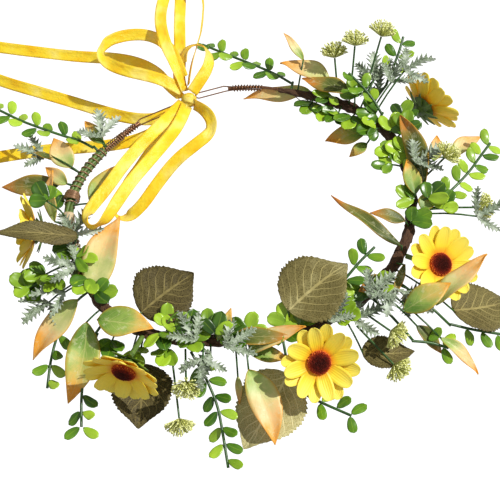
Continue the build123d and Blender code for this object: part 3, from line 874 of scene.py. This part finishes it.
def sepals(build, seat, rng):
    """The ring of narrow pointed sepals behind a bloom."""
    for k in range(SEPALS):
        turn = Matrix.Rotation(tau * k / SEPALS + rng.uniform(-0.15, 0.15), 4, "Z")

        def place(u, v):
            across = v * (SEPAL_HALF * (1 - u) ** 0.6 + 0.0001)
            return seat @ turn @ (SEPAL_FROM + SEPAL_REACH * u + Vector((0, across, -0.0004 * v * v)))

        add_sheet(build, 7, 5, PETAL_THICKNESS, place)


def sunflower(name, seed):
    """One bloom, which turns on its body, and its sepals, which stay on the crown."""
    seat, rng = seat_of(name), random.Random(seed)
    body = f"bloom_{name}"
    build = Build()
    for layer, (phase, base_z) in enumerate(PETAL_LAYERS):
        for k in range(PETALS):
            petal(build, seat, tau * (k + phase) / PETALS, base_z, rng, 1 - 0.07 * layer)
    build.finish(f"petals_{name}", MATERIALS["petal"], f"sunflower_{name}_petals", "petal", body)
    disc = Build()
    disc_florets(disc, seat, rng)
    disc.finish(f"florets_{name}", MATERIALS["flower_disc"], f"sunflower_{name}_disc", "flower_disc", body)
    green = Build()
    sepals(green, seat, rng)
    green.finish(f"sepals_{name}", MATERIALS["calyx"], None, "calyx")


for flower_seed, flower_name in enumerate(FLOWERS):
    sunflower(flower_name, flower_seed)

# ---- leaves ----


def solids_of(node):
    """The node's separate solids: each one's points, and the vertices of the mesh that they are."""
    mesh = frame["nodes"][node].data
    places = np.array([tuple(vertex.co) for vertex in mesh.vertices])
    keys, owner = {}, []
    for place in np.round(places, 6):
        owner.append(keys.setdefault(tuple(place), len(keys)))
    parent = list(range(len(keys)))

    def find(a):
        while parent[a] != a:
            parent[a] = parent[parent[a]]
            a = parent[a]
        return a

    for polygon in mesh.polygons:
        first = find(owner[polygon.vertices[0]])
        for vertex in polygon.vertices[1:]:
            parent[find(owner[vertex])] = first
    groups = {}
    for vertex in range(len(places)):
        groups.setdefault(find(owner[vertex]), []).append(vertex)
    return [(places[members], members) for members in groups.values()]


LEAF_THICKEST = 0.0012  # the CAD's leaves are 0.6 mm thick, and its stems 1.6 mm


class Plate:
    """Where a flat CAD leaf lies: its base, its tip, its width and its face."""

    def __init__(self, points, root_points):
        centre = points.mean(axis=0)
        _, _, axes = np.linalg.svd(points - centre, full_matrices=False)
        spans = [np.ptp((points - centre) @ axis) for axis in axes]
        self.length, self.width, self.depth = spans
        ends = [points[np.argmin(points @ axes[0])], points[np.argmax(points @ axes[0])]]
        gaps = [np.min(np.linalg.norm(root_points - end, axis=1)) for end in ends]
        if gaps[1] < gaps[0]:
            ends.reverse()
        self.base, self.tip = Vector(ends[0]), Vector(ends[1])
        self.face = Vector(axes[2])
        if self.face.z < 0:
            self.face = -self.face

    def is_leaf(self):
        return self.depth < LEAF_THICKEST


SPINES = 6.5  # down each side of a frosted leaf
SPINE_LEAN = 0.75  # how far they point ahead, for their length
# Each kind's width as a share of its widest, from its base, u = 0, to its tip, u = 1.
OUTLINES = {
    "rose": lambda u: sin(pi * u ** 0.74) ** 0.72 * (1 - 0.45 * max(0.0, u - 0.72) / 0.28),
    "printed": lambda u: sin(pi * u ** 0.8) ** 0.95,
    "oval": lambda u: sqrt(max(0.0, 1 - (2 * u - 1) ** 2)) * (0.72 + 0.4 * u),
    "round": lambda u: max(0.0, 1 - (2 * u - 1) ** 2) ** 0.5 * (0.7 + 0.35 * u),
    "spiny": lambda u: (0.34 + 0.66 * (1 - abs((u * SPINES) % 1.0 * 2 - 1)) ** 1.6)
    * sin(pi * (0.08 + 0.9 * u)) ** 0.75,
}
TEETH, TOOTH_DEPTH = 22, 0.1  # of a rose leaf
# Which print each larger leaf has: under 0.42 green, under 0.7 peach, above that olive. For a rose leaf
# the value is painted light: how pale it is, pale for a sunlit leaf and dark for one in shade. In the CAD's
# order of leaves.
PRINTS_AND_PAINTED_LIGHT = {
    "rose_leaf_left": [0.3], "rose_leaves_lower_left": [0.16, 0.14],
    "rose_leaves_lower": [0.85, 0.5], "rose_leaves_right": [0.35, 0.4],
    "vine_leaves_upper_left": [0.2, 0.5, 0.65, 0.9], "vine_leaves_left": [0.95, 0.5, 0.2, 0.8],
    "vine_leaves_lower_left": [0.5, 0.45, 0.3, 0.25], "vine_leaves_lower": [0.3, 0.6, 0.65, 0.8, 0.6, 0.2],
    "vine_leaves_right": [0.9, 0.8, 0.9, 0.95, 0.2, 0.9], "vine_leaves_lower_right": [0.3, 0.6, 0.8, 0.6],
    "vine_leaves_upper_right": [0.85, 0.6, 0.55, 0.2], "vine_leaves_top": [0.6, 0.45, 0.8, 0.65, 0.2, 0.3],
}
REVERSED = {("vine_leaves_lower_left", 3)}  # leaves whose tip, not base, lies nearer the ring
LEAF_THICKNESS = 0.00035
LEAF_WAVE = 0.03  # how high its edges ripple, for its length
LEAF_PUCKER = 0.007  # how high the cloth puckers between veins, for its width
LOWEST = 0.0003  # no leaf goes under this height


def leaf(build, base, tip, width, face, kind, rng, bend, fold, rows, columns, shade=None):
    """One leaf: an outline from base to tip, folded on its midrib, arched and rippled."""
    ahead = tip - base
    length = ahead.length
    ahead.normalize()
    face = (face - ahead * face.dot(ahead)).normalized()
    side = face.cross(ahead)
    seed, twist = rng.random(), rng.uniform(-0.25, 0.25)
    # For a rose leaf, a given shade is painted light: pale stands for a sunlit leaf, dark for one in shade.
    seed = seed if shade is None else shade
    sway = rng.uniform(-0.06, 0.06) * length

    def place(u, v):
        half = width / 2 * OUTLINES[kind](u)
        reach = half * v
        if kind == "rose" and abs(v) == 1:
            reach *= 1 + TOOTH_DEPTH * ((u * TEETH) % 1.0 - 0.5)
        lean = abs(v) * half * SPINE_LEAN if kind == "spiny" else 0.0
        lift = fold * abs(reach) - bend * length * (u * u - u * 0.55)
        lift += LEAF_WAVE * length * sin(u * 9 + seed * 30) * v * v
        if kind in ("rose", "printed"):
            lift += LEAF_PUCKER * width * cos(u * 40 - abs(v) * 9) * (1 - abs(v))
        across = side * cos(twist * u) + face * sin(twist * u)
        up = face * cos(twist * u) - side * sin(twist * u)
        spot = base + ahead * (length * u + lean) + across * reach + up * lift + side * sway * sin(pi * u)
        spot.z = max(spot.z, LOWEST)
        return spot

    add_sheet(build, rows, columns, LEAF_THICKNESS, place, seed=seed)


ring_points = np.array([tuple(p) for p in ring_line])
STALK_R = 0.00055
SPRIG_STEM_R = 0.0008  # as in the CAD
STALK_BOW = 0.07  # how far a stalk arches up, for its length
STALK_OVERLAP = 0.0006  # how far it reaches into its leaf
STALK_LEAST = 0.0045  # what starts nearer than this to the ring's axis needs no stalk


def copy_solid(build, node, members):
    """A CAD solid taken over as it is, into the piece that replaces its node."""
    mesh = frame["nodes"][node].data
    order = {vertex: i for i, vertex in enumerate(members)}
    faces = [tuple(order[v] for v in p.vertices) for p in mesh.polygons if p.vertices[0] in order]
    build.add([mesh.vertices[v].co for v in members], faces)


def stalk(build, end, radius=STALK_R):
    """The stalk that holds a leaf, or a stem's missing root, on the ring: the CAD leaves it out."""
    gaps = np.linalg.norm(ring_points - np.array(end), axis=1)
    if gaps.min() < STALK_LEAST:
        return
    start = Vector(ring_points[gaps.argmin()])
    run = end - start
    run += run.normalized() * STALK_OVERLAP
    arch = run.cross(UP).cross(run).normalized() * run.length * STALK_BOW
    add_tube(build, [start + run * t + arch * sin(pi * t) for t in (0, 0.25, 0.5, 0.75, 1)], radius, 7)


CLUSTER_LIFT = 0.0008  # how far a cluster's side leaves start above its middle leaf
CLUSTER_SIZE = 0.85  # how wide they are, for its width


def leaves_of(node, seed, kind, material, bend, fold, grow=1.0, clusters=False, **grid):
    """Every leaf of a node, each where its CAD plate is, and the node's stems."""
    rng = random.Random(seed)
    plates = [(Plate(points, ring_points), points, members) for points, members in solids_of(node)]
    stems = [points for plate, points, _ in plates if not plate.is_leaf()]
    roots = np.vstack(stems) if stems else ring_points
    leaves, rods = Build(), Build()
    # Each printed leaf's print and each rose leaf's painted light or shade, in the CAD's order.
    shades = iter(PRINTS_AND_PAINTED_LIGHT.get(node, []))
    for place, (plate, points, members) in enumerate(plates):
        if not plate.is_leaf():
            copy_solid(rods, node, members)
            stalk(rods, plate.base, SPRIG_STEM_R)
            continue
        plate = Plate(points, roots)
        if (node, place) in REVERSED:
            plate.base, plate.tip = plate.tip, plate.base
        if not stems:
            stalk(rods, plate.base)
        width = plate.width * grow * (rng.uniform(0.85, 1.25) if clusters else 1)
        leaf(leaves, plate.base, plate.tip, width, plate.face, kind, rng, bend, fold,
             shade=next(shades, None), **grid)
        if clusters:
            ahead = plate.tip - plate.base
            for turn in (rng.uniform(40, 65), -rng.uniform(35, 60)):
                other = Quaternion(plate.face, radians(turn)) @ ahead * rng.uniform(0.7, 0.95)
                tip = plate.base + other + plate.face * plate.length * rng.uniform(-0.05, 0.16)
                tilted = Quaternion(ahead.normalized(), radians(rng.uniform(-30, 30))) @ plate.face
                leaf(leaves, plate.base + plate.face * CLUSTER_LIFT, tip, width * CLUSTER_SIZE, tilted,
                     kind, rng, bend, fold, **grid)
    leaves.finish(node + "_looks", MATERIALS[material], node, material)
    if rods.points:
        rods.finish(node + "_stems", MATERIALS["sprig_stem"], node, material)


# How the leaves of each kind of node look. In clusters, each CAD leaf stands for three.
LEAVES = {
    "rose_": dict(kind="rose", material="rose_leaf", bend=0.1, fold=0.12, grow=1.05, rows=61, columns=13),
    "vine_leaves": dict(kind="printed", material="printed_leaf", bend=0.16, fold=0.25, rows=24, columns=9),
    "sprig": dict(kind="oval", material="eucalyptus", bend=-0.1, fold=-0.1, grow=1.1, rows=13, columns=7),
    "box_": dict(kind="round", material="box_leaf", bend=-0.12, fold=0.2, clusters=True, rows=13, columns=7),
    "frosted": dict(kind="spiny", material="frosted_leaf", bend=0.2, fold=0.35, grow=1.1, clusters=True,
                    rows=53, columns=7),
}
for index, node_name in enumerate(sorted(frame["nodes"])):
    for start, looks in LEAVES.items():
        if node_name.startswith(start):
            leaves_of(node_name, index, **looks)

# ---- umbels ----


FILAMENTS = 150
FILAMENT_R = 0.00024
FILAMENT_LENGTH = 0.0082
FILAMENT_BEND = 0.0016
BEAD_R = 0.00042
UMBEL_SPREAD = radians(78)  # from the stem's line to the outermost filaments
FOOT_DEPTH = 0.003  # from the cone's middle down to where its filaments meet
ROD_THICKEST = 0.004  # what is thinner is a rod and not a cone


def umbel_tufts(node, seed):
    """Each cone of the CAD becomes a tuft of fine curved filaments with beads at their ends."""
    rng = random.Random(seed)
    tufts, rods = Build(), Build()
    for points, members in solids_of(node):
        plate = Plate(points, ring_points)
        if min(plate.length, plate.width) < ROD_THICKEST:
            copy_solid(rods, node, members)
            continue
        middle = points.mean(axis=0)
        centre = Vector(middle)
        _, _, axes = np.linalg.svd(points - middle, full_matrices=False)
        axis = min((Vector(a) for a in axes), key=lambda a: np.ptp(points @ np.array(a)))
        ends = sorted(((Vector(p) - centre).dot(axis), (Vector(p) - centre).length) for p in points)
        if ends[0][1] > ends[-1][1]:
            axis = -axis
        foot = centre - axis * FOOT_DEPTH
        side = axis.orthogonal().normalized()
        for _ in range(FILAMENTS):
            tilt = UMBEL_SPREAD * sqrt(rng.random())
            spin = rng.random() * tau
            way = (Quaternion(axis, spin) @ (Quaternion(side.cross(axis), tilt) @ axis)).normalized()
            reach = FILAMENT_LENGTH * rng.uniform(0.75, 1.05)
            bend = axis * FILAMENT_BEND * rng.uniform(0.2, 1)
            line = [foot + way * reach * t + bend * t * t for t in (0.05, 0.4, 0.75, 1.0)]
            value = rng.random()
            add_tube(tufts, line, FILAMENT_R, 4, seed=value)
            bead = [line[-1] + way * k * 0.0005 for k in range(3)]
            add_tube(tufts, bead, BEAD_R, 5, seed=min(1, value + 0.3))
    tufts.finish(node + "_tufts", MATERIALS["umbel"], node, "umbel")
    rods.finish(node + "_rods", MATERIALS["sprig_stem"], node, "umbel")


for index, node_name in enumerate(["umbels_lower", "umbels_upper"]):
    umbel_tufts(node_name, index)

# ---- CAD pieces that stay as they are ----

KEPT = {
    "ring_wire": "thin_wire", "left_eyelet": "thin_wire", "right_eyelet": "thin_wire",
    "paper_strip": "paper_strip",
}
KEPT.update({f"sunflower_{name}_stem": "calyx" for name in FLOWERS})
for node_name, material_name in KEPT.items():
    for node_slot in frame["nodes"][node_name].material_slots:
        node_slot.material = MATERIALS[material_name]

# ---- light and floor ----


SUN = (0.75, 0.12, 1.0)
SUN_STRENGTH = 4.2
SUN_COLOUR = (1, 0.98, 0.94)
WINDOW = (-0.6, -0.4, 0.9)
WINDOW_SIZE = 0.8
WINDOW_POWER = 0.6
AIM = Vector((0, 0, 0.02))
WHITE_SEEN = 1.2  # how bright the camera sees the room and the floor
ROOM_LIGHT = 0.4  # how bright the light is that the room gives
FLOOR_LIGHT = 0.55
FLOOR_HALF = 2.0
FLOOR_DROP = 0.0005


def light(name, kind, strength, place):
    """A lamp at a place, aimed at the crown."""
    lamp = bpy.data.lights.new(name, kind)
    lamp.energy = strength
    holder = placed(name, lamp)
    holder.location = place
    holder.rotation_euler = (AIM - Vector(place)).to_track_quat("-Z", "Y").to_euler()
    return lamp


sun = light("sun", "SUN", SUN_STRENGTH, SUN)
sun.angle = radians(1)
sun.color = SUN_COLOUR
light("window", "AREA", WINDOW_POWER, WINDOW).size = WINDOW_SIZE


def shown_and_given(tree, socket, shown, given):
    """Sets a strength that differs between what the camera sees and what lights the object."""
    path = tree.nodes.new("ShaderNodeLightPath")
    level = tree.nodes.new("ShaderNodeMapRange")
    level.inputs["To Min"].default_value = given
    level.inputs["To Max"].default_value = shown
    tree.links.new(path.outputs["Is Camera Ray"], level.inputs["Value"])
    tree.links.new(level.outputs["Result"], socket)


world = bpy.data.worlds.new("room")
bpy.context.scene.world = world
world.use_nodes = True
background = world.node_tree.nodes["Background"]
background.inputs["Color"].default_value = (1, 1, 1, 1)
shown_and_given(world.node_tree, background.inputs["Strength"], WHITE_SEEN, ROOM_LIGHT)

floor_mesh = bpy.data.meshes.new("floor")
corners = [(x * FLOOR_HALF, y * FLOOR_HALF, 0) for x, y in ((-1, -1), (1, -1), (1, 1), (-1, 1))]
floor_mesh.from_pydata(corners, [], [(0, 1, 2, 3)])
floor = placed("floor", floor_mesh)
floor.location.z = -FLOOR_DROP


def white_surface():
    """A sheet so brightly lit that it shows no shadow, though it throws only soft light back."""
    surface = bpy.data.materials.new("white_surface")
    surface.use_nodes = True
    tree = surface.node_tree
    glow = tree.nodes.new("ShaderNodeEmission")
    shown_and_given(tree, glow.inputs["Strength"], WHITE_SEEN, FLOOR_LIGHT)
    tree.links.new(glow.outputs[0], tree.nodes["Material Output"].inputs["Surface"])
    return surface


floor_mesh.materials.append(white_surface())
